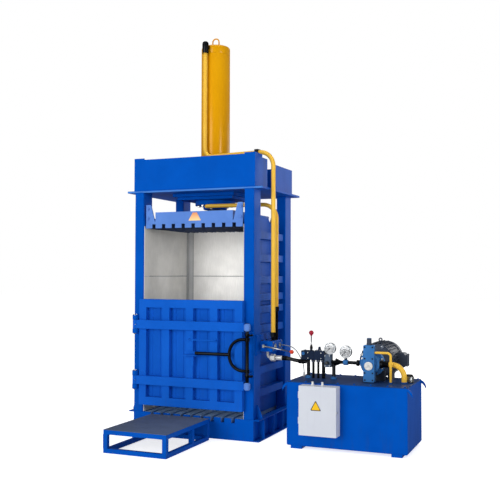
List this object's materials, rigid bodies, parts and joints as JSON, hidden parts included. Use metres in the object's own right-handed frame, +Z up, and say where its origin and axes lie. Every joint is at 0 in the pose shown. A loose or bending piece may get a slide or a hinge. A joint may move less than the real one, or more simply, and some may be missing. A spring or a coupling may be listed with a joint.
{
  "type": "recycling baler",
  "caption": "A vertical recycling baler: blue press frame with hinged door and latch, yellow ram cylinder, slotted platen, loading step and a separate hydraulic power unit",
  "frame": {"origin": "on the floor at the centre of the press's four anchor bolts", "axes": "+Z up, +X to the right seen from the loading side, -Y towards the loading side"},
  "size_m": [2.9331, 2.018, 4.089],
  "materials": {
    "press_blue": "satin machine enamel",
    "door_blue": "satin machine enamel",
    "platen_blue": "satin light-blue enamel",
    "cylinder_yellow": "gloss enamel",
    "pipe_yellow": "gloss enamel",
    "box_grey": "textured powder coat",
    "motor_grey": "satin enamel",
    "pump_blue": "satin enamel on cast iron",
    "galvanised_sheet": "bright rolled sheet",
    "step_sheet": "dull dark grey enamel",
    "black_fittings": "black oxide steel",
    "zinc_steel": "zinc-plated steel",
    "polished_steel": "hard chrome, ground",
    "steel_dark": "machined iron",
    "hose_rubber": "matt black rubber",
    "cable_grey": "grey sheath",
    "white_plastic": "pale moulded plastic",
    "knob_red": "moulded ball",
    "black_plastic": "moulded plastic",
    "gauge_case": "satin steel case"
  },
  "bodies": {
    "frame": {"base_frame": "press_blue", "floor_bars": "platen_blue", "columns": "press_blue", "side_wall_left": "press_blue", "side_wall_right": "press_blue", "rear_wall": "press_blue", "liner_sheets": "galvanised_sheet", "head_plate": "press_blue", "head_beams": "press_blue", "head_inner_beams": "press_blue", "cylinder_mount": "press_blue", "cylinder_barrel": "cylinder_yellow", "cylinder_gland": "press_blue", "cylinder_cap": "cylinder_yellow", "flange_bolts": "zinc_steel", "cap_side_pipe": "pipe_yellow", "rod_side_pipe": "pipe_yellow", "pipe_fittings": "black_fittings", "side_valve_bracket": "press_blue", "side_valve_body": "press_blue", "hose_fitting": "zinc_steel", "hinge_lugs": "press_blue", "hinge_pins": "zinc_steel", "latch_keepers": "press_blue", "step_frame": "press_blue", "step_top": "step_sheet", "tank_body": "press_blue", "tank_lid": "press_blue", "electrical_box": "box_grey", "cable_glands": "white_plastic", "valve_posts": "black_fittings", "directional_valve": "black_fittings", "relief_valve": "black_fittings", "gauges": "gauge_case", "pump_body": "pump_blue", "pump_control": "pump_blue", "bell_housing": "pump_blue", "motor_body": "motor_grey", "fan_cowl": "motor_grey", "pump_pipes": "pipe_yellow", "pressure_pipe": "black_fittings", "press_hose": "hose_rubber", "control_cable": "cable_grey"},
    "platen": {"platen_frame": "platen_blue", "platen_bars": "platen_blue", "ram_rod": "polished_steel"},
    "door": {"door_panel": "door_blue", "door_bars": "door_blue", "door_pull": "door_blue"},
    "latch": {"latch_shaft": "black_fittings", "latch_handle": "black_fittings"},
    "side_lever": {"side_valve_lever": "zinc_steel"},
    "lever": {"valve_lever": "zinc_steel"},
    "box_door": {"electrical_door": "box_grey"},
    "box_lock": {"door_lock": "zinc_steel"},
    "cap": {"filler_cap": "black_plastic"},
    "needle_1": {"gauge_needle_1": "black_plastic"},
    "needle_2": {"gauge_needle_2": "black_plastic"},
    "knob": {"relief_knob": "black_plastic"},
    "rotor": {"motor_rotor": "steel_dark"}
  },
  "joints": [
    {"name": "platen_slide", "type": "slide", "parent": "frame", "child": "platen", "axis": [0, 0, -1], "range_m": [0, 1.35]},
    {"name": "door_swing", "type": "hinge", "parent": "frame", "child": "door", "pos_m": [-0.6, -0.602, 0.8], "axis": [0, 0, -1], "range_deg": [0, 170]},
    {"name": "latch_turn", "type": "hinge", "parent": "door", "child": "latch", "pos_m": [0.63, -0.62, 0.8], "axis": [0, 0, 1], "range_deg": [0, 80]},
    {"name": "side_lever_turn", "type": "hinge", "parent": "frame", "child": "side_lever", "pos_m": [0.722, -0.44, 0.905], "axis": [0, 0, 1], "range_deg": [-18, 18]},
    {"name": "valve_lever_tilt", "type": "hinge", "parent": "frame", "child": "lever", "pos_m": [1.16, -0.3, 0.879], "axis": [0, 1, 0], "range_deg": [-15, 15]},
    {"name": "box_door_swing", "type": "hinge", "parent": "frame", "child": "box_door", "pos_m": [1.178, -0.72525, 0.37], "axis": [0, 0, -1], "range_deg": [0, 110]},
    {"name": "lock_turn", "type": "hinge", "parent": "box_door", "child": "box_lock", "pos_m": [1.53, -0.72525, 0.368], "axis": [-1, 0, 0], "range_deg": [0, 90]},
    {"name": "filler_cap_turn", "type": "hinge", "parent": "frame", "child": "cap", "pos_m": [2.088, -0.262, 0.64], "axis": [0, 0, 1], "range_deg": [0, 90]},
    {"name": "gauge_1_sweep", "type": "hinge", "parent": "frame", "child": "needle_1", "pos_m": [1.348, -0.317, 0.894], "axis": [0, 1, 0], "range_deg": [0, 270]},
    {"name": "gauge_2_sweep", "type": "hinge", "parent": "frame", "child": "needle_2", "pos_m": [1.5, -0.317, 0.869], "axis": [0, 1, 0], "range_deg": [0, 270]},
    {"name": "relief_knob_turn", "type": "hinge", "parent": "frame", "child": "knob", "pos_m": [1.331, -0.34, 0.762], "axis": [0, 1, 0], "range_deg": [-180, 180]},
    {"name": "motor_spin", "type": "hinge", "parent": "frame", "child": "rotor", "pos_m": [1.755, 0.05, 0.775], "axis": [0, 1, 0], "continuous": true}
  ]
}
